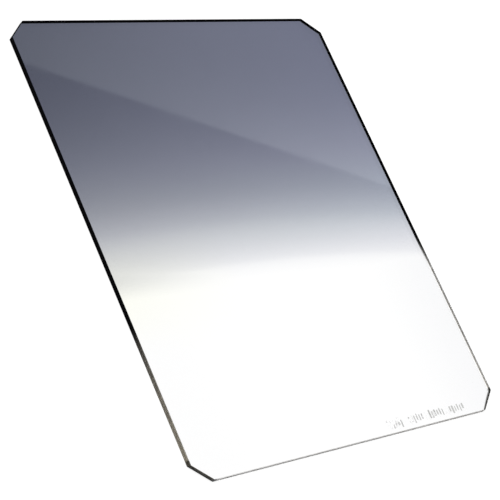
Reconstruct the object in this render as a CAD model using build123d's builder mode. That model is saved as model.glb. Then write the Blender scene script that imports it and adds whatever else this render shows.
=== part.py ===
from build123d import *
import os

# Slot-in graduated neutral-density filter: one flat sheet of cast optical resin, tinted over its far
# half. Its four corners are clipped at 45 degrees, and its ground edges are broken where they meet
# the two faces.
#
# Millimetres. The sheet lies flat with its lower face on Z = 0 and the origin under its middle.
# +X runs across the holder's slot, +Y along the slot towards the dark end, and +Z out of the
# upper face.

# Driving dimensions
sheet_width = 150.0  # across the slot, between the two guided edges
sheet_length = 170.0  # along the slot, from the clear end to the dark end
sheet_thickness = 2.0  # what the slot's grooves take
corner_clip = 7.0  # taken off each side of a corner by its 45 degree cut
clip_round = 0.6  # radius where a clipped corner runs into the straight edges
edge_break = 0.2  # 45 degree break between the ground edge and each face

with BuildPart() as filter_plate:
    # Outline: a rectangle with its corners clipped, eased where the cuts meet the straight edges
    with BuildSketch(Plane.XY) as outline:
        Rectangle(sheet_width, sheet_length)
        chamfer(outline.vertices(), length=corner_clip)
        fillet(outline.vertices(), radius=clip_round)
    extrude(amount=sheet_thickness)

    # Edge breaks all round the lower and the upper face
    edges_by_height = filter_plate.edges().group_by(Axis.Z)
    face_outlines = edges_by_height[0] + edges_by_height[-1]
    chamfer(face_outlines, length=edge_break)

filter_plate.part.label = "filter_plate"

os.makedirs("parts", exist_ok=True)
export_step(filter_plate.part, "parts/filter_plate.step")
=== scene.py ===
"""Slot-in graduated filter: the polished resin sheet, its ground edges, its print and the studio.

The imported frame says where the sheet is. Everything here is in metres in that frame: the sheet lies
flat with its lower face on Z = 0, +X runs across the holder's slot and +Y along it towards the dark
end.
"""

import logging
import math
from dataclasses import dataclass
from enum import Enum
from typing import Sequence

import bmesh
import bpy
from mathutils import Matrix, Vector


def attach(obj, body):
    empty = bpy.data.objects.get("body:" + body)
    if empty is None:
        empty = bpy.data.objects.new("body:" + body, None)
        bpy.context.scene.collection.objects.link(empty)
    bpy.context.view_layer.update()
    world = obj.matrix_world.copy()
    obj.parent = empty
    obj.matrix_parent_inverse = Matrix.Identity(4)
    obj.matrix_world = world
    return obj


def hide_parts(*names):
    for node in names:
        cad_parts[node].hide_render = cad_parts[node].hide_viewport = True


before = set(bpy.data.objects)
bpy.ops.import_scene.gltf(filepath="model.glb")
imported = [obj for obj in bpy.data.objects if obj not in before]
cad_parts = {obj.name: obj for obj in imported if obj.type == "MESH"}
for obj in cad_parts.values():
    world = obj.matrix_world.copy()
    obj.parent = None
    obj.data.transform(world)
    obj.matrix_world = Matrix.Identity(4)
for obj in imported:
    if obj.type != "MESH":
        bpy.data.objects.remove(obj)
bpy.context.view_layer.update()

LOG = logging.getLogger("graduated_filter")
MM = 0.001
PLATE_NODE = "filter_plate"
RESIN_REFRACTION = 1.5
LIGHT_TURNS = 96  # lets light caught between the two faces run the sheet's whole length

Colour = tuple[float, float, float]
Ring = list[tuple[float, float, float]]


def rgba(colour: Colour) -> tuple[float, float, float, float]:
    """Gives a colour full alpha, as node sockets ask."""
    return (*colour, 1.0)


class Bench:
    """A node tree being wired: it adds nodes, sets their inputs and links them."""

    def __init__(self, tree: bpy.types.NodeTree) -> None:
        """Starts on a tree, which it empties.

        Args:
            tree: The node tree of a material, world, group or modifier.
        """
        self.tree = tree
        self.tree.nodes.clear()

    def add(self, kind: str, **settings: object) -> bpy.types.Node:
        """Adds a node.

        Args:
            kind: The node's Blender type, such as "ShaderNodeMath".
            settings: Properties of the node itself, such as operation.

        Returns:
            The new node.
        """
        node = self.tree.nodes.new(kind)
        for name, value in settings.items():
            setattr(node, name, value)
        return node

    def feed(self, socket: bpy.types.NodeSocket, value: object) -> None:
        """Links an output to a socket, or sets the socket's own value.

        Args:
            socket: The input to fill.
            value: Another node's output socket, or a plain value.
        """
        if isinstance(value, bpy.types.NodeSocket):
            self.tree.links.new(value, socket)
        else:
            socket.default_value = value

    def math(self, operation: str, *values: object, clamp: bool = False) -> bpy.types.NodeSocket:
        """Adds a Math node.

        Args:
            operation: Blender's name for the sum.
            values: Its operands, sockets or numbers.
            clamp: Whether the result is held from 0 to 1.

        Returns:
            Its output.
        """
        node = self.add("ShaderNodeMath", operation=operation, use_clamp=clamp)
        for socket, value in zip(node.inputs, values):
            self.feed(socket, value)
        return node.outputs[0]

    def ramp(
        self,
        value: bpy.types.NodeSocket,
        span: tuple[float, float],
        to: tuple[float, float] = (0.0, 1.0),
        smooth: bool = False,
    ) -> bpy.types.NodeSocket:
        """Maps a value from one range to another and holds it there.

        Args:
            value: The value's socket.
            span: The range it comes in.
            to: The range it goes out in.
            smooth: Whether it eases in and out.

        Returns:
            The mapped value.
        """
        node = self.add(
            "ShaderNodeMapRange",
            interpolation_type="SMOOTHSTEP" if smooth else "LINEAR",
            clamp=True,
        )
        for name, given in (
            ("Value", value),
            ("From Min", span[0]),
            ("From Max", span[1]),
            ("To Min", to[0]),
            ("To Max", to[1]),
        ):
            self.feed(node.inputs[name], given)
        return node.outputs["Result"]

    def band(
        self,
        value: bpy.types.NodeSocket,
        rising: tuple[float, float],
        falling: tuple[float, float],
    ) -> bpy.types.NodeSocket:
        """Adds a mask that eases in over one range of a value and out over another.

        Args:
            value: The value's socket.
            rising: The range over which the mask goes from 0 to 1.
            falling: The range over which it goes back, its end first.

        Returns:
            The mask.
        """
        coming = self.ramp(value, rising, smooth=True)
        going = self.ramp(value, falling, smooth=True)
        return self.math("MULTIPLY", coming, going)

    def noise(self, place: object, scale: float, detail: float = 2.0) -> bpy.types.NodeSocket:
        """Adds a noise texture.

        Args:
            place: The position it reads.
            scale: Features per metre.
            detail: Number of finer layers.

        Returns:
            Its value, from 0 to 1.
        """
        node = self.add("ShaderNodeTexNoise")
        self.feed(node.inputs["Vector"], place)
        self.feed(node.inputs["Scale"], scale)
        self.feed(node.inputs["Detail"], detail)
        return node.outputs["Fac"]

    def blend(self, share: object, first: object, second: object) -> bpy.types.NodeSocket:
        """Mixes two colours; a share of 1 is all of the second."""
        node = self.add("ShaderNodeMix", data_type="RGBA")
        for name, value in (("Factor_Float", share), ("A_Color", first), ("B_Color", second)):
            self.feed(next(socket for socket in node.inputs if socket.identifier == name), value)
        return next(socket for socket in node.outputs if socket.identifier == "Result_Color")

    def place(self) -> tuple[bpy.types.NodeSocket, bpy.types.NodeSocket, bpy.types.NodeSocket]:
        """Adds the object's own coordinates, and gives them whole, then as X and as Y."""
        whole = self.add("ShaderNodeTexCoord").outputs["Object"]
        parts = self.add("ShaderNodeSeparateXYZ")
        self.feed(parts.inputs[0], whole)
        return whole, parts.outputs["X"], parts.outputs["Y"]

    def group(self, tree: bpy.types.NodeTree, **inputs: object) -> bpy.types.Node:
        """Places a node group.

        Args:
            tree: The group's tree.
            inputs: Its inputs, by name with underscores for spaces.

        Returns:
            The group node.
        """
        node = self.add("ShaderNodeGroup")
        node.node_tree = tree
        for name, value in inputs.items():
            self.feed(node.inputs[name.replace("_", " ")], value)
        return node

    def bump(self, height: object, strength: float, depth: float) -> bpy.types.NodeSocket:
        """Adds a Bump node.

        Args:
            height: The height's socket.
            strength: How much of the bump shows.
            depth: How deep it is, in metres.

        Returns:
            The bumped normal.
        """
        node = self.add("ShaderNodeBump")
        node.inputs["Strength"].default_value = strength
        node.inputs["Distance"].default_value = depth
        self.feed(node.inputs["Height"], height)
        return node.outputs["Normal"]

    def principled(self, **inputs: object) -> bpy.types.Node:
        """Adds a Principled BSDF.

        Args:
            inputs: Its inputs, by name with underscores for spaces.

        Returns:
            The shader node.
        """
        node = self.add("ShaderNodeBsdfPrincipled")
        for name, value in inputs.items():
            self.feed(node.inputs[name.replace("_", " ")], value)
        return node

    def mix_shader(self, share: object, first: object, second: object) -> bpy.types.NodeSocket:
        """Mixes two shaders; a share of 1 is all of the second."""
        node = self.add("ShaderNodeMixShader")
        for socket, value in zip(node.inputs, (share, first, second)):
            self.feed(socket, value)
        return node.outputs[0]


def material_bench(name: str) -> tuple[bpy.types.Material, Bench, bpy.types.NodeSocket]:
    """Starts a node material.

    Args:
        name: The material's name.

    Returns:
        The material, its bench, and the socket that its surface goes into.
    """
    material = bpy.data.materials.new(name)
    material.use_nodes = True
    bench = Bench(material.node_tree)
    output = bench.add("ShaderNodeOutputMaterial")
    return material, bench, output.inputs["Surface"]


def group_bench(
    name: str,
    inputs: Sequence[tuple[str, str, object]],
    outputs: Sequence[tuple[str, str]],
) -> tuple[bpy.types.NodeTree, Bench, bpy.types.Node, bpy.types.Node]:
    """Starts a shader node group.

    Args:
        name: The group's name.
        inputs: Name, socket type and default (or None) of each input.
        outputs: Name and socket type of each output.

    Returns:
        The group's tree, its bench, and its input and output nodes.
    """
    tree = bpy.data.node_groups.new(name, "ShaderNodeTree")
    for label, kind, default in inputs:
        socket = tree.interface.new_socket(label, in_out="INPUT", socket_type=kind)
        if default is not None:
            socket.default_value = default
    for label, kind in outputs:
        tree.interface.new_socket(label, in_out="OUTPUT", socket_type=kind)
    bench = Bench(tree)
    return tree, bench, bench.add("NodeGroupInput"), bench.add("NodeGroupOutput")


@dataclass(frozen=True)
class DyeGrade:
    """The grey dye that the sheet was dipped in: how far up it reaches and what it lets through.

    Strength is 0 where there is no dye and 1 in the middle of the dark end. Density is optical
    density, so one more of it lets a tenth of the light through.
    """

    start: float = -20.0 * MM  # Y of the line where the dye begins
    full: float = 85.0 * MM  # Y where it is densest, the dark end
    sag: float = 0.62  # how much the line curves: metres of drop per square metre across
    sag_centre: float = -25.0 * MM  # X where the line is highest
    lean: float = -1.35  # how much the strength changes for each metre towards +X
    bowl: float = 40.0  # how much it grows at the dark end for each square metre from the middle
    bowl_turn: float = 0.55  # share of the way up where that growth starts, and below it reverses
    residue: float = 0.022  # strength of the trace left on the clear part, near the edge at +X
    residue_span: tuple[float, float] = (35.0 * MM, 75.0 * MM)  # X over which that sets in
    residue_opposite: float = 0.3  # share of it near the edge at -X
    fringe: float = 0.14  # strength of the fringe below the line, at the edge at -X
    fringe_span: tuple[float, float] = (-20.0 * MM, -75.0 * MM)  # X over which that sets in
    fringe_rise: tuple[float, float] = (-23.0 * MM, -13.0 * MM)  # and Y
    warmth: float = 0.036  # density that blue has more of along that edge, at the line
    warm_rise: tuple[float, float] = (-45.0 * MM, -16.0 * MM)  # Y over which that sets in
    warm_fall: tuple[float, float] = (4.0 * MM, -14.0 * MM)  # and over which it ends, end first
    toe_rise: tuple[float, float] = (-17.0 * MM, 2.0 * MM)  # Y where thin dye turns greener
    toe_fall: tuple[float, float] = (30.0 * MM, 10.0 * MM)  # and where that ends, end first
    toe_across: tuple[float, float] = (-60.0 * MM, 70.0 * MM)  # X over which its red changes
    toe_red: tuple[float, float] = (0.001, 0.018)  # density that red has more of there
    toe_blue: float = 0.012  # and that blue has more of
    density: Colour = (0.95, 0.92, 0.765)  # of each channel at full strength
    cast: float = -0.55  # how much the last of these changes for each metre towards +X
    mottle: float = 0.03  # share by which the dye varies from place to place
    mottle_scale: float = 42.0  # patches of it per metre
    rise: tuple[tuple[float, float], ...] = (  # share of the way up, and the strength there
        (0.0, 0.0),
        (0.04, 0.03),
        (0.067, 0.092),
        (0.1, 0.147),
        (0.17, 0.256),
        (0.24, 0.41),
        (0.38, 0.65),
        (0.62, 0.885),
        (0.76, 0.955),
        (1.0, 1.0),
    )

    def group(self) -> bpy.types.NodeTree:
        """Builds the dye's node group.

        Returns:
            A group with the position in and the colour that the dye lets through out.
        """
        number = "NodeSocketFloat"
        tree, bench, inlet, outlet = group_bench(
            "Dye grade",
            (
                ("Position", "NodeSocketVector", None),
                ("Start", number, self.start),
                ("Full", number, self.full),
                ("Sag", number, self.sag),
                ("Sag centre", number, self.sag_centre),
                ("Lean", number, self.lean),
                ("Bowl", number, self.bowl),
                ("Residue", number, self.residue),
                ("Fringe", number, self.fringe),
                ("Cast", number, self.cast),
                ("Warmth", number, self.warmth),
                ("Mottle", number, self.mottle),
            ),
            (("Colour", "NodeSocketColor"),),
        )
        given = inlet.outputs
        parts = bench.add("ShaderNodeSeparateXYZ")
        bench.feed(parts.inputs[0], given["Position"])
        x, y = parts.outputs["X"], parts.outputs["Y"]
        strength = self._strength(bench, given, x, y)
        cast = bench.math("ADD", bench.math("MULTIPLY", x, given["Cast"]), 1.0)
        red_more, blue_more = self._hues(bench, given, x, y)
        colour = bench.add("ShaderNodeCombineColor")
        for socket, density, factor, more in zip(
            colour.inputs, self.density, (1.0, 1.0, cast), (red_more, 0.0, blue_more)
        ):
            grey = bench.math("MULTIPLY", bench.math("MULTIPLY", strength, factor), density)
            exponent = bench.math("MULTIPLY", bench.math("ADD", grey, more), -1.0)
            bench.feed(socket, bench.math("POWER", 10.0, exponent))
        bench.feed(outlet.inputs["Colour"], colour.outputs[0])
        return tree

    def _strength(
        self,
        bench: Bench,
        given: bpy.types.NodeOutputs,
        x: bpy.types.NodeSocket,
        y: bpy.types.NodeSocket,
    ) -> bpy.types.NodeSocket:
        """Adds the strength of the dye all over the sheet.

        Args:
            bench: The group's bench.
            given: The group's inputs.
            x: The X on the sheet.
            y: The Y on the sheet.

        Returns:
            The strength.
        """
        aside = bench.math("SUBTRACT", x, given["Sag centre"])
        drop = bench.math("MULTIPLY", bench.math("MULTIPLY", aside, aside), given["Sag"])
        above = bench.math("SUBTRACT", bench.math("ADD", y, drop), given["Start"])
        reach = bench.math("SUBTRACT", given["Full"], given["Start"])
        share = bench.math("DIVIDE", above, reach, clamp=True)
        curve = bench.add("ShaderNodeFloatCurve")
        self._shape(curve.mapping)
        bench.feed(curve.inputs["Value"], share)
        cloud = bench.noise(given["Position"], self.mottle_scale, 3.0)
        swing = bench.math("MULTIPLY", bench.math("SUBTRACT", cloud, 0.5), given["Mottle"])
        leaning = bench.math("MULTIPLY", x, given["Lean"])
        bowl = bench.math("MULTIPLY", bench.math("MULTIPLY", x, x), given["Bowl"])
        sides = bench.math("MULTIPLY", bowl, bench.math("SUBTRACT", share, self.bowl_turn))
        uneven = bench.math("ADD", bench.math("ADD", swing, leaning), bench.math("ADD", sides, 1.0))
        graded = bench.math("MULTIPLY", curve.outputs[0], uneven)
        return bench.math("MAXIMUM", graded, self._traces(bench, given, x, y))

    def _traces(
        self,
        bench: Bench,
        given: bpy.types.NodeOutputs,
        x: bpy.types.NodeSocket,
        y: bpy.types.NodeSocket,
    ) -> bpy.types.NodeSocket:
        """Adds the little dye that lies below the line, along the two long edges.

        Args:
            bench: The group's bench.
            given: The group's inputs.
            x: The X on the sheet.
            y: The Y on the sheet.

        Returns:
            The strength that it has at the least.
        """
        near = bench.ramp(x, self.residue_span, smooth=True)
        mirrored = (-self.residue_span[0], -self.residue_span[1])
        opposite = bench.ramp(x, mirrored, (0.0, self.residue_opposite), smooth=True)
        residue = bench.math("MULTIPLY", bench.math("MAXIMUM", near, opposite), given["Residue"])
        along_edge = bench.ramp(x, self.fringe_span)
        below_line = bench.ramp(y, self.fringe_rise, smooth=True)
        both = bench.math("MULTIPLY", along_edge, below_line)
        return bench.math("MAXIMUM", residue, bench.math("MULTIPLY", both, given["Fringe"]))

    def _hues(
        self,
        bench: Bench,
        given: bpy.types.NodeOutputs,
        x: bpy.types.NodeSocket,
        y: bpy.types.NodeSocket,
    ) -> tuple[bpy.types.NodeSocket, bpy.types.NodeSocket]:
        """Adds the density that red and blue have beyond the grey's, around the line.

        Args:
            bench: The group's bench.
            given: The group's inputs.
            x: The X on the sheet.
            y: The Y on the sheet.

        Returns:
            What red has more of, and what blue has more of.
        """
        toe = bench.band(y, self.toe_rise, self.toe_fall)
        red_more = bench.math("MULTIPLY", toe, bench.ramp(x, self.toe_across, self.toe_red))
        along_edge = bench.ramp(x, self.fringe_span)
        warm = bench.math("MULTIPLY", along_edge, bench.band(y, self.warm_rise, self.warm_fall))
        warmth = bench.math("MULTIPLY", warm, given["Warmth"])
        blue_more = bench.math("ADD", bench.math("MULTIPLY", toe, self.toe_blue), warmth)
        return red_more, blue_more

    def _shape(self, mapping: bpy.types.CurveMapping) -> None:
        """Sets how the dye's strength rises along the sheet."""
        points = mapping.curves[0].points
        points[0].location = self.rise[0]
        points[-1].location = self.rise[-1]
        for place in self.rise[1:-1]:
            points.new(*place)
        mapping.update()


@dataclass(frozen=True)
class PolishedResin:
    """The two cast faces: clear resin, graded by the dye, with the faint sheen of use."""

    roughness: tuple[float, float] = (0.012, 0.03)  # from the cleanest to the most handled spots
    handling_scale: float = 60.0  # handled spots per metre
    handling_span: tuple[float, float] = (0.35, 0.7)  # the noise's values at those two
    wave: float = 0.005 * MM  # depth of the cast surface's slow waves
    wave_scale: float = 22.0  # waves per metre

    def build(self, dye: bpy.types.NodeTree) -> bpy.types.Material:
        """Builds the material.

        Args:
            dye: The shared dye group.

        Returns:
            The material.
        """
        material, bench, surface = material_bench("polished_dyed_resin")
        place = bench.add("ShaderNodeTexCoord").outputs["Object"]
        grade = bench.group(dye, Position=place)
        spots = bench.noise(place, self.handling_scale, 4.0)
        handled = bench.ramp(spots, self.handling_span, self.roughness, smooth=True)
        waves = bench.noise(place, self.wave_scale, 1.0)
        shader = bench.principled(
            Base_Color=grade.outputs["Colour"],
            Roughness=handled,
            IOR=RESIN_REFRACTION,
            Transmission_Weight=1.0,
            Normal=bench.bump(waves, 1.0, self.wave),
        )
        bench.feed(surface, shader.outputs[0])
        return material


@dataclass(frozen=True)
class GroundEdge:
    """The sawn and ground edge: smoky where the resin is clear, opaque black where it is dyed."""

    clear_tint: Colour = (0.90, 0.78, 0.55)  # what is left of the light that comes along the sheet
    end_tint: Colour = (0.93, 0.90, 0.87)  # and of the light that comes to the clear end, whiter: painted light that makes that edge show lighter
    end_span: tuple[float, float] = (-84.3 * MM, -84.8 * MM)  # Y from where the clear end's edge is
    end_painted_light: float = 0.25  # painted light: how much more of that edge lets light through, so that it shows lighter
    side_span: tuple[float, float] = (74.3 * MM, 74.8 * MM)  # X from where the edge at +X is
    side_painted_light: float = 0.16  # and how much more of that one does, painted light that makes it show lighter
    smoke: Colour = (0.045, 0.041, 0.034)  # the ground surface itself
    smoke_gloss: float = 0.1
    black: Colour = (0.0012, 0.0011, 0.0014)  # the dyed edge
    black_gloss: float = 0.006
    clear_share: tuple[float, float] = (0.55, 0.13)  # share of the clear edge that lets light through
    clear_span: tuple[float, float] = (-95.0 * MM, -40.0 * MM)  # from the clear end to the dye
    clear_skew: float = 0.15  # how much further down that runs for each metre towards +X
    clip_shade: float = 0.72  # painted shade: how far the clipped corners are darkened towards black
    clip_span: tuple[float, float] = (151.7 * MM, 152.1 * MM)  # |X| + |Y| from where those are
    line_middle: float = -27.9 * MM  # Y where the edge has turned half black
    line_half: float = 7.5 * MM  # half the length of that change
    line_skew: float = 0.118  # how much further up it starts for each metre towards +X
    roughness: tuple[float, float] = (0.32, 0.5)  # from the finest to the coarsest grain
    grain_scale: float = 900.0  # grains per metre
    grain_span: tuple[float, float] = (0.3, 0.7)  # the noise's values at those two
    scratch: float = 0.05 * MM  # depth of the grinding marks
    scratch_share: float = 0.35  # how much of that shows
    scratch_scale: float = 1400.0  # marks per metre

    def dark(
        self,
        bench: Bench,
        x: bpy.types.NodeSocket,
        y: bpy.types.NodeSocket,
    ) -> bpy.types.NodeSocket:
        """Adds the mask of the black edge along the dyed part, and the painted shade at the clipped
        corners.

        Args:
            bench: The material's bench.
            x: The X on the sheet.
            y: The Y on the sheet.

        Returns:
            0 where the edge is clear and 1 where it is black.
        """
        skewed = bench.math("SUBTRACT", y, bench.math("MULTIPLY", x, self.line_skew))
        span = (self.line_middle - self.line_half, self.line_middle + self.line_half)
        dyed = bench.ramp(skewed, span, smooth=True)
        # painted shade: the clipped corners darkened towards black
        outwards = bench.math("ADD", bench.math("ABSOLUTE", x), bench.math("ABSOLUTE", y))
        shaded_clips = bench.ramp(outwards, self.clip_span, (0.0, self.clip_shade))
        return bench.math("MAXIMUM", dyed, shaded_clips)

    def build(self) -> bpy.types.Material:
        """Builds the material.

        Returns:
            The material.
        """
        material, bench, surface = material_bench("ground_resin_edge")
        place, x, y = bench.place()
        lower = bench.math("ADD", y, bench.math("MULTIPLY", x, self.clear_skew))
        # painted light: the clear end's edge and the edge at +X let more light through, the end
        # whiter, so that they show lighter
        end = bench.ramp(y, self.end_span)
        end_light = bench.math("MULTIPLY", end, self.end_painted_light)
        side_light = bench.ramp(x, self.side_span, (0.0, self.side_painted_light))
        share = bench.math(
            "ADD",
            bench.ramp(lower, self.clear_span, self.clear_share),
            bench.math("MAXIMUM", end_light, side_light),
        )
        tint = bench.blend(end, rgba(self.clear_tint), rgba(self.end_tint))
        grains = bench.noise(place, self.grain_scale, 3.0)
        rough = bench.ramp(grains, self.grain_span, self.roughness)
        marks = bench.noise(place, self.scratch_scale, 2.0)
        normal = bench.bump(marks, self.scratch_share, self.scratch)
        through = bench.principled(
            Base_Color=tint,
            Roughness=rough,
            IOR=RESIN_REFRACTION,
            Transmission_Weight=1.0,
            Normal=normal,
        )
        smoky = bench.principled(
            Base_Color=rgba(self.smoke),
            Roughness=rough,
            Specular_IOR_Level=self.smoke_gloss,
            Normal=normal,
        )
        black = bench.principled(
            Base_Color=rgba(self.black),
            Roughness=rough,
            Specular_IOR_Level=self.black_gloss,
            Normal=normal,
        )
        clear = bench.mix_shader(share, smoky.outputs[0], through.outputs[0])
        dark = self.dark(bench, x, y)
        bench.feed(surface, bench.mix_shader(dark, clear, black.outputs[0]))
        return material


@dataclass(frozen=True)
class PaintedShadeRim:
    """Painted shade: a narrow black margin on both faces where the edge is black, widest along the
    edge at +X, its clip and the dark end, with no reflection.
    """

    edge: GroundEdge
    clear_roughness: float = 0.03
    dark_roughness: float = 0.5

    def build(self) -> bpy.types.Material:
        """Builds the material.

        Returns:
            The material.
        """
        material, bench, surface = material_bench("painted_shade_rim")
        resin = bench.principled(
            Base_Color=rgba((1.0, 1.0, 1.0)),
            Roughness=self.clear_roughness,
            IOR=RESIN_REFRACTION,
            Transmission_Weight=1.0,
        )
        black = bench.principled(
            Base_Color=rgba(self.edge.black),
            Roughness=self.dark_roughness,
            Specular_IOR_Level=0.0,
        )
        # painted shade: black with no reflection where the edge is black, clear resin elsewhere
        _, x, y = bench.place()
        dark = self.edge.dark(bench, x, y)
        bench.feed(surface, bench.mix_shader(dark, resin.outputs[0], black.outputs[0]))
        return material


@dataclass(frozen=True)
class WornInk:
    """Grey printing ink, rubbed away in patches."""

    colour: Colour = (0.5, 0.5, 0.49)
    fade: tuple[float, float] = (20.0 * MM, 60.0 * MM)  # X from nearly worn off to nearly whole
    kept: tuple[float, float] = (0.0, 0.45)  # how much more of it is left there than the wear leaves
    gone: float = 0.45  # ink of this strength or less is rubbed off
    crisp: float = 3.0  # how sharp the rubbed patches are
    patch_scale: float = 420.0  # patches per metre
    roughness: float = 0.6

    def build(self) -> bpy.types.Material:
        """Builds the material.

        Returns:
            The material.
        """
        material, bench, surface = material_bench("worn_grey_ink")
        place, x, _ = bench.place()
        patches = bench.noise(place, self.patch_scale, 3.0)
        whole = bench.math("ADD", patches, bench.ramp(x, self.fade, self.kept))
        left = bench.math("SUBTRACT", whole, self.gone)
        cover = bench.math("MULTIPLY", left, self.crisp, clamp=True)
        shader = bench.principled(
            Base_Color=rgba(self.colour),
            Roughness=self.roughness,
            Alpha=cover,
        )
        bench.feed(surface, shader.outputs[0])
        return material


class Finish(Enum):
    """The sheet's material slots."""

    FACE = 0
    EDGE = 1
    RIM = 2


@dataclass
class FilterSheet:
    """The filter: one flat sheet with clipped corners and broken edges.

    The sheet's eight sides are counted anticlockwise from above: the long edge at +X, the clip after
    it, the dark end, its other clip, the long edge at -X, a clip, the clear end and the last clip.
    The clips were sawn by eye. The saw fields say how far inside its true line each side is, at the
    lower and at the upper face, and askew says how far it is turned about its middle.
    """

    width: float = 150.0 * MM
    length: float = 170.0 * MM
    thickness: float = 2.0 * MM
    clip: float = 7.0 * MM
    clip_round: float = 0.6 * MM
    edge_break: float = 0.2 * MM
    lower_saw: tuple[float, ...] = (0.0, 0.0, 0.0, -0.12 * MM, 0.0, 0.0, 0.0, 0.2 * MM)
    upper_saw: tuple[float, ...] = (0.0, 0.0, 0.0, -0.12 * MM, 0.0, -0.33 * MM, 0.0, 0.2 * MM)
    askew: tuple[float, ...] = (0.0, 4.0, 0.0, -3.2, 0.0, 2.7, 0.0, -4.6)  # degrees, anticlockwise
    arc_points: int = 5
    least_round: float = 0.05 * MM  # radius of the corners further in, where the clip's has run out
    upper_rim: tuple[float, ...] = (1.5 * MM, 1.65 * MM, 1.1 * MM, *[0.05 * MM] * 5)  # painted shade: width of the black margin on the upper face, side by side
    # painted shade: width of the black margin on the lower face, side by side
    lower_rim: tuple[float, ...] = (0.6 * MM, 0.6 * MM, 0.4 * MM, 0.05 * MM, *[0.4 * MM] * 4)
    smooth_up_to: float = 30.0  # degrees between faces that are shaded as one

    def outline(self, insets: Sequence[float], sawn: Sequence[float], height: float) -> Ring:
        """Lays out the sheet's outline with each side moved inwards.

        Args:
            insets: How far inside its sawn line each of the eight sides is.
            sawn: How far inside its true line that one is.
            height: Its Z.

        Returns:
            Its points, anticlockwise from above.
        """
        radius = max(self.clip_round - max(insets), self.least_round)
        sides = []
        for index, middle in enumerate(self._middles()):
            angle = index * math.pi / 4 + math.radians(self.askew[index])
            out = Vector((math.cos(angle), math.sin(angle)))
            sides.append((out, out.dot(middle) - insets[index] - sawn[index]))
        ring: Ring = []
        for (out, reach), (after, reach_after) in zip(sides, sides[1:] + sides[:1]):
            turned = out.cross(after)
            corner = Vector((
                reach * after.y - reach_after * out.y,
                reach_after * out.x - reach * after.x,
            )) / turned
            centre = corner - (out + after) * radius / (1.0 + out.dot(after))
            for step in range(self.arc_points):
                bend = math.asin(turned) * step / (self.arc_points - 1)
                spoke = Matrix.Rotation(bend, 2) @ (out * radius)
                ring.append((centre.x + spoke.x, centre.y + spoke.y, height))
        return ring

    def _middles(self) -> list[Vector]:
        """Gives the middle of each side's true line."""
        half_x, half_y = self.width / 2, self.length / 2
        clip_x, clip_y = half_x - self.clip / 2, half_y - self.clip / 2
        quarter = ((half_x, 0.0), (clip_x, clip_y), (0.0, half_y), (-clip_x, clip_y))
        return [Vector(point) * way for way in (1.0, -1.0) for point in quarter]

    def build(self) -> bpy.types.Object:
        """Builds the sheet as one closed mesh.

        Returns:
            The sheet, still without finishes.
        """
        full = (0.0,) * 8
        broken = (self.edge_break,) * 8
        below, above = self.lower_saw, self.upper_saw
        rings = (
            self.outline([self.edge_break + rim for rim in self.lower_rim], below, 0.0),
            self.outline(broken, below, 0.0),
            self.outline(full, below, self.edge_break),
            self.outline(full, above, self.thickness - self.edge_break),
            self.outline(broken, above, self.thickness),
            self.outline([self.edge_break + rim for rim in self.upper_rim], above, self.thickness),
        )
        form = bmesh.new()
        loops = [[form.verts.new(point) for point in ring] for ring in rings]
        bands = (Finish.RIM, Finish.EDGE, Finish.EDGE, Finish.EDGE, Finish.RIM)
        for low, high, finish in zip(loops, loops[1:], bands):
            for index in range(len(low)):
                around = (index + 1) % len(low)
                quad = form.faces.new((low[index], low[around], high[around], high[index]))
                quad.material_index = finish.value
        form.faces.new(list(reversed(loops[0])))
        form.faces.new(loops[-1])
        form.normal_update()
        mesh = bpy.data.meshes.new("filter_sheet")
        form.to_mesh(mesh)
        form.free()
        mesh.shade_smooth()
        mesh.set_sharp_from_angle(angle=math.radians(self.smooth_up_to))
        sheet = bpy.data.objects.new("filter_sheet", mesh)
        bpy.context.scene.collection.objects.link(sheet)
        return sheet

    def dress(self, sheet: bpy.types.Object, finishes: dict[Finish, bpy.types.Material]) -> None:
        """Gives the sheet its finishes and sets it in the CAD sheet's place.

        Args:
            sheet: The sheet's object.
            finishes: The material of each slot.
        """
        for finish in Finish:
            sheet.data.materials.append(finishes[finish])
        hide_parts(PLATE_NODE)
        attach(sheet, "root")
        LOG.info("filter_sheet: %d faces, rides on root", len(sheet.data.polygons))


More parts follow.
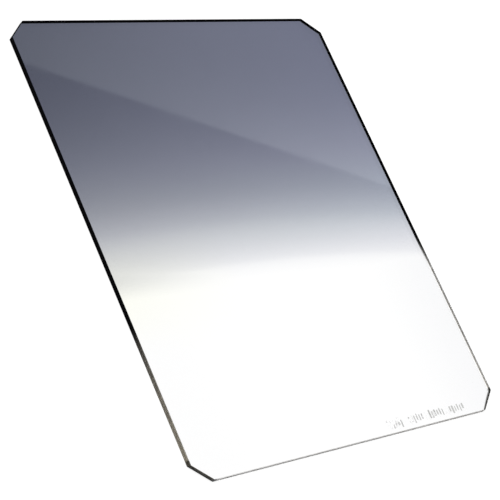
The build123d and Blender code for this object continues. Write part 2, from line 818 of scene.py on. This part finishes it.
@dataclass
class IndexMarks:
    """A row of short printed strokes near the clear end, used to judge how far the sheet is slid."""

    first: float = 15.4 * MM  # X of the first stroke
    pitch: float = 1.4 * MM
    count: int = 30
    together: int = 6  # strokes in one bunch
    bunch: int = 8  # and the strokes that a bunch and its gap take up
    stagger: float = 0.4 * MM  # how far a stroke may sit off the row
    middle_y: float = -81.6 * MM
    stroke_height: float = 3.5 * MM
    stroke_width: float = 0.6 * MM
    ink_depth: float = 0.02 * MM
    sunk: float = 0.005 * MM  # how far the ink's underside is into the face
    shrink: tuple[float, float, float] = (0.6, 0.5, 1.0)  # a stroke's least scale
    grow: tuple[float, float, float] = (1.6, 1.0, 1.0)  # and its greatest
    corner_share: float = 0.3  # corner radius of a stroke, as a share of its width
    weld: float = 0.001 * MM
    seed: int = 7

    def tree(self) -> bpy.types.NodeTree:
        """Builds the Geometry Nodes tree that lays the strokes in a row.

        Returns:
            The tree, with its sizes as named inputs.
        """
        tree = bpy.data.node_groups.new("Stroke row", "GeometryNodeTree")
        number = "NodeSocketFloat"
        for label, kind in (
            ("Count", "NodeSocketInt"),
            ("Together", "NodeSocketInt"),
            ("Bunch", "NodeSocketInt"),
            ("Stagger", number),
            ("Pitch", number),
            ("Stroke height", number),
            ("Stroke width", number),
            ("Ink depth", number),
            ("Start", "NodeSocketVector"),
            ("Seed", "NodeSocketInt"),
            ("Ink", "NodeSocketMaterial"),
        ):
            tree.interface.new_socket(label, in_out="INPUT", socket_type=kind)
        tree.interface.new_socket("Geometry", in_out="OUTPUT", socket_type="NodeSocketGeometry")
        bench = Bench(tree)
        given = bench.add("NodeGroupInput").outputs
        bar = self._bar(bench, given)
        step = bench.add("ShaderNodeCombineXYZ")
        bench.feed(step.inputs["X"], given["Pitch"])
        row = bench.add("GeometryNodeMeshLine", mode="OFFSET")
        bench.feed(row.inputs["Count"], given["Count"])
        bench.feed(row.inputs["Start Location"], given["Start"])
        bench.feed(row.inputs["Offset"], step.outputs[0])
        size = bench.add("FunctionNodeRandomValue", data_type="FLOAT_VECTOR")
        bench.feed(size.inputs["Min"], self.shrink)
        bench.feed(size.inputs["Max"], self.grow)
        bench.feed(size.inputs["Seed"], given["Seed"])
        placed = bench.add("GeometryNodeInstanceOnPoints")
        bench.feed(placed.inputs["Points"], self._bunched(bench, given, row.outputs[0]))
        bench.feed(placed.inputs["Instance"], bar)
        bench.feed(placed.inputs["Scale"], size.outputs["Value"])
        real = bench.add("GeometryNodeRealizeInstances")
        bench.feed(real.inputs[0], placed.outputs[0])
        inked = bench.add("GeometryNodeSetMaterial")
        bench.feed(inked.inputs["Geometry"], real.outputs[0])
        bench.feed(inked.inputs["Material"], given["Ink"])
        result = bench.add("NodeGroupOutput")
        bench.feed(result.inputs["Geometry"], inked.outputs[0])
        return tree

    def _bunched(
        self,
        bench: Bench,
        given: bpy.types.NodeOutputs,
        row: bpy.types.NodeSocket,
    ) -> bpy.types.NodeSocket:
        """Adds the nodes that leave gaps in the row and set its points a little off the line.

        Args:
            bench: The tree's bench.
            given: The tree's inputs.
            row: The row's points.

        Returns:
            The points that are kept, moved.
        """
        index = bench.add("GeometryNodeInputIndex").outputs[0]
        place = bench.math("FLOORED_MODULO", index, given["Bunch"])
        last = bench.math("SUBTRACT", given["Together"], 0.5)
        gap = bench.add("GeometryNodeDeleteGeometry", domain="POINT")
        bench.feed(gap.inputs["Geometry"], row)
        bench.feed(gap.inputs["Selection"], bench.math("GREATER_THAN", place, last))
        draw = bench.add("FunctionNodeRandomValue", data_type="FLOAT")
        least, most = (
            socket
            for socket in draw.inputs
            if socket.name in ("Min", "Max") and socket.type == "VALUE"
        )
        bench.feed(least, bench.math("MULTIPLY", given["Stagger"], -1.0))
        bench.feed(most, given["Stagger"])
        bench.feed(draw.inputs["Seed"], given["Seed"])
        aside = bench.add("ShaderNodeCombineXYZ")
        bench.feed(aside.inputs["Y"], next(out for out in draw.outputs if out.type == "VALUE"))
        moved = bench.add("GeometryNodeSetPosition")
        bench.feed(moved.inputs["Geometry"], gap.outputs[0])
        bench.feed(moved.inputs["Offset"], aside.outputs[0])
        return moved.outputs[0]

    def _bar(self, bench: Bench, given: bpy.types.NodeOutputs) -> bpy.types.NodeSocket:
        """Adds the nodes of one stroke, a flat bar with rounded ends.

        Args:
            bench: The tree's bench.
            given: The tree's inputs.

        Returns:
            The stroke's mesh, closed.
        """
        shape = bench.add("GeometryNodeCurvePrimitiveQuadrilateral")
        bench.feed(shape.inputs["Width"], given["Stroke width"])
        bench.feed(shape.inputs["Height"], given["Stroke height"])
        rounding = bench.add("GeometryNodeFilletCurve")
        rounding.inputs["Limit Radius"].default_value = True
        bench.feed(rounding.inputs["Curve"], shape.outputs[0])
        radius = bench.math("MULTIPLY", given["Stroke width"], self.corner_share)
        bench.feed(rounding.inputs["Radius"], radius)
        flat = bench.add("GeometryNodeFillCurve")
        bench.feed(flat.inputs["Curve"], rounding.outputs[0])
        body = bench.add("GeometryNodeExtrudeMesh", mode="FACES")
        body.inputs["Individual"].default_value = False
        bench.feed(body.inputs["Mesh"], flat.outputs[0])
        bench.feed(body.inputs["Offset Scale"], given["Ink depth"])
        underside = bench.add("GeometryNodeFlipFaces")
        bench.feed(underside.inputs[0], flat.outputs[0])
        both = bench.add("GeometryNodeJoinGeometry")
        bench.feed(both.inputs[0], body.outputs["Mesh"])
        bench.feed(both.inputs[0], underside.outputs[0])
        closed = bench.add("GeometryNodeMergeByDistance")
        bench.feed(closed.inputs["Geometry"], both.outputs[0])
        closed.inputs["Distance"].default_value = self.weld
        return closed.outputs[0]

    def build(self, face_height: float, ink: bpy.types.Material) -> bpy.types.Object:
        """Lays the strokes on the sheet's upper face.

        Args:
            face_height: Z of the face that carries them.
            ink: Their material.

        Returns:
            The strokes as one plain mesh, inked.
        """
        carrier = bpy.data.objects.new("stroke_carrier", bpy.data.meshes.new("stroke_carrier"))
        bpy.context.scene.collection.objects.link(carrier)
        row = carrier.modifiers.new("Stroke row", "NODES")
        tree = self.tree()
        row.node_group = tree
        values = {
            "Count": self.count,
            "Together": self.together,
            "Bunch": self.bunch,
            "Stagger": self.stagger,
            "Pitch": self.pitch,
            "Stroke height": self.stroke_height,
            "Stroke width": self.stroke_width,
            "Ink depth": self.ink_depth,
            "Start": (self.first, self.middle_y, face_height - self.sunk),
            "Seed": self.seed,
            "Ink": ink,
        }
        sockets = {item.name: item for item in tree.interface.items_tree if item.in_out == "INPUT"}
        for name, value in values.items():
            row[sockets[name].identifier] = value
        settled = carrier.evaluated_get(bpy.context.evaluated_depsgraph_get())
        mesh = bpy.data.meshes.new_from_object(settled)
        mesh.name = "index_marks"
        mesh.materials.clear()
        mesh.materials.append(ink)
        mesh.polygons.foreach_set("material_index", [0] * len(mesh.polygons))
        carrier.modifiers.remove(row)
        bpy.data.objects.remove(carrier)
        marks = bpy.data.objects.new("index_marks", mesh)
        bpy.context.scene.collection.objects.link(marks)
        return marks

    def dress(self, marks: bpy.types.Object) -> None:
        """Makes the strokes ride on the sheet."""
        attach(marks, "root")
        LOG.info("index_marks: %d faces, rides on root", len(marks.data.polygons))


@dataclass(frozen=True)
class PhotoCamera:
    """The camera where the photograph was taken from."""

    place: tuple[float, float, float] = (-0.42367, -0.17711, 0.39967)
    aim: tuple[float, float, float] = (-0.01196, -0.00979, 0.002)
    roll: float = 50.901  # degrees, the picture's turn about the line of sight
    lens: float = 124.348  # millimetres, on the sensor below
    sensor: float = 36.0  # millimetres wide
    clip: tuple[float, float] = (0.01, 50.0)  # nearest and furthest that it sees

    def build(self) -> bpy.types.Object:
        """Sets up the camera and makes it the scene's.

        Returns:
            The camera.
        """
        data = bpy.data.cameras.new("photo_camera")
        data.lens = self.lens
        data.sensor_width = self.sensor
        data.clip_start, data.clip_end = self.clip
        camera = bpy.data.objects.new("photo_camera", data)
        back = (Vector(self.place) - Vector(self.aim)).normalized()
        level = Vector((0.0, 0.0, 1.0)).cross(back).normalized()
        over = back.cross(level)
        turn = math.radians(self.roll)
        right = level * math.cos(turn) + over * math.sin(turn)
        up = back.cross(right)
        pose = Matrix((right, up, back)).transposed().to_4x4()
        pose.translation = Vector(self.place)
        camera.matrix_world = pose
        bpy.context.scene.collection.objects.link(camera)
        bpy.context.scene.camera = camera
        return camera


@dataclass(frozen=True)
class SoftLamp:
    """A square softbox that shines at the sheet's middle."""

    name: str
    place: tuple[float, float, float]
    side: float
    watts: float

    def build(self) -> bpy.types.Object:
        """Hangs the lamp.

        Returns:
            The lamp.
        """
        data = bpy.data.lights.new(self.name, "AREA")
        data.shape = "SQUARE"
        data.size = self.side
        data.energy = self.watts
        lamp = bpy.data.objects.new(self.name, data)
        lamp.location = self.place
        lamp.rotation_mode = "QUATERNION"
        lamp.rotation_quaternion = Vector(self.place).to_track_quat("Z", "Y")
        bpy.context.scene.collection.objects.link(lamp)
        return lamp


@dataclass(frozen=True)
class Studio:
    """A pale room: white floor, white sides, a dimmer ceiling and a pale board behind the sheet."""

    lamps: tuple[SoftLamp, ...] = (
        SoftLamp("key_softbox", (-0.9, 0.7, 1.5), 1.2, 22.0),
        SoftLamp("side_softbox", (1.2, -0.9, 1.2), 1.0, 10.0),
    )
    floor_half: float = 4.0
    floor_bounce: float = 0.8  # share of the light that it gives back to the sheet
    floor_drop: float = 0.05 * MM
    floor_glow: float = 0.82  # what the floor shows of itself, with its lit part making it white
    floor_shade: float = 0.26  # the part of the floor that takes shadows
    under_glow: float = 1.06  # the floor as the sheet shows it
    fill: float = 0.55  # even light from all round
    ceiling: float = 0.05  # how bright gloss sees the ceiling
    side: float = 0.5  # and the sides of the room
    rise: tuple[float, float] = (25.0, 46.0)  # elevations, in degrees, between side and ceiling
    board: tuple[float, float] = (0.82, 0.55)  # brightness it adds, at its edge and further in
    board_normal: tuple[float, float, float] = (0.2792, 0.6884, -0.6695)
    board_soft: float = 0.0013  # half the width of its soft edge, as the sine of an angle
    board_reach: float = 0.045  # how far in it has fallen to its plain brightness
    board_side: tuple[float, float] = (0.6, 0.72)  # the X it is seen at, from its dimmer side
    board_dim: tuple[float, float] = (0.76, 1.0)
    gap_dark: float = 0.5  # how much darker the room is right beside it
    gap_reach: float = 0.02
    room_tint: Colour = (0.94, 1.0, 1.06)

    def floor(self) -> bpy.types.Object:
        """Lays the floor just under the sheet.

        Returns:
            The floor.
        """
        half = self.floor_half
        mesh = bpy.data.meshes.new("studio_floor")
        corners = ((-half, -half), (half, -half), (half, half), (-half, half))
        mesh.from_pydata([(x, y, -self.floor_drop) for x, y in corners], [], [(0, 1, 2, 3)])
        material, bench, surface = material_bench("pale_floor")
        plain = bench.add("ShaderNodeBsdfDiffuse")
        plain.inputs["Color"].default_value = rgba((self.floor_bounce,) * 3)
        shaded = bench.add("ShaderNodeBsdfDiffuse")
        shaded.inputs["Color"].default_value = rgba((self.floor_shade,) * 3)
        glow = bench.add("ShaderNodeEmission")
        glow.inputs["Strength"].default_value = self.floor_glow
        seen = bench.add("ShaderNodeAddShader")
        bench.feed(seen.inputs[0], glow.outputs[0])
        bench.feed(seen.inputs[1], shaded.outputs[0])
        under = bench.add("ShaderNodeEmission")
        under.inputs["Strength"].default_value = self.under_glow
        ray = bench.add("ShaderNodeLightPath").outputs
        direct = bench.math("MAXIMUM", ray["Is Camera Ray"], ray["Is Glossy Ray"])
        first = bench.mix_shader(direct, plain.outputs[0], seen.outputs[0])
        bench.feed(surface, bench.mix_shader(ray["Is Transmission Ray"], first, under.outputs[0]))
        mesh.materials.append(material)
        floor = bpy.data.objects.new("studio_floor", mesh)
        bpy.context.scene.collection.objects.link(floor)
        return floor

    def world(self) -> bpy.types.World:
        """Builds the room's light: white to the eye, even on dull surfaces, graded in gloss.

        Returns:
            The world.
        """
        world = bpy.data.worlds.new("studio_room")
        world.use_nodes = True
        bench = Bench(world.node_tree)
        way = bench.add("ShaderNodeTexCoord").outputs["Generated"]
        parts = bench.add("ShaderNodeSeparateXYZ")
        bench.feed(parts.inputs[0], way)
        elevation = bench.math("DEGREES", bench.math("ARCSINE", parts.outputs["Z"]))
        room = bench.ramp(elevation, self.rise, (self.side, self.ceiling))
        facing = bench.add("ShaderNodeVectorMath", operation="DOT_PRODUCT")
        bench.feed(facing.inputs[0], way)
        bench.feed(facing.inputs[1], self.board_normal)
        past = facing.outputs["Value"]
        on_board = bench.ramp(past, (-self.board_soft, self.board_soft), smooth=True)
        aside = bench.ramp(parts.outputs["X"], self.board_side, self.board_dim)
        falloff = bench.ramp(past, (0.0, self.board_reach), self.board, smooth=True)
        board = bench.math("MULTIPLY", on_board, bench.math("MULTIPLY", aside, falloff))
        gap = bench.ramp(past, (-self.gap_reach, 0.0), (1.0, 1.0 - self.gap_dark), smooth=True)
        beside = bench.math("MULTIPLY", room, bench.math("MAXIMUM", gap, on_board))
        tinted = bench.add("ShaderNodeBackground")
        tinted.inputs["Color"].default_value = rgba(self.room_tint)
        bench.feed(tinted.inputs["Strength"], bench.math("ADD", beside, board))
        even = bench.add("ShaderNodeBackground")
        even.inputs["Color"].default_value = rgba((1.0, 1.0, 1.0))
        even.inputs["Strength"].default_value = self.fill
        white = bench.add("ShaderNodeBackground")
        white.inputs["Color"].default_value = rgba((1.0, 1.0, 1.0))
        ray = bench.add("ShaderNodeLightPath").outputs
        first = bench.mix_shader(ray["Is Glossy Ray"], even.outputs[0], tinted.outputs[0])
        straight = bench.math("MAXIMUM", ray["Is Camera Ray"], ray["Is Transmission Ray"])
        output = bench.add("ShaderNodeOutputWorld")
        bench.feed(output.inputs["Surface"], bench.mix_shader(straight, first, white.outputs[0]))
        bpy.context.scene.world = world
        return world

    def build(self) -> None:
        """Sets up the floor, the room and the soft lamps."""
        self.floor()
        self.world()
        for lamp in self.lamps:
            lamp.build()
        LOG.info("studio: floor, room and %d soft lamps", len(self.lamps))


def set_light(scene: bpy.types.Scene, bounces: int) -> None:
    """Sets how colours are shown and how far light is followed.

    Args:
        scene: The scene to set.
        bounces: The most times that one light path may turn.
    """
    scene.view_settings.view_transform = "Standard"
    scene.cycles.max_bounces = bounces
    scene.cycles.glossy_bounces = bounces
    scene.cycles.transmission_bounces = bounces


def main() -> None:
    """Builds the camera, the studio, the sheet and its print, in that order."""
    logging.basicConfig(level=logging.INFO, format="%(name)s: %(message)s")
    set_light(bpy.context.scene, LIGHT_TURNS)
    PhotoCamera().build()
    Studio().build()
    edge = GroundEdge()
    finishes = {
        Finish.FACE: PolishedResin().build(DyeGrade().group()),
        Finish.EDGE: edge.build(),
        # painted shade: the black margin on the faces
        Finish.RIM: PaintedShadeRim(edge).build(),
    }
    plate = FilterSheet()
    plate.dress(plate.build(), finishes)
    strokes = IndexMarks()
    strokes.dress(strokes.build(plate.thickness, WornInk().build()))


if __name__ == "__main__":
    main()
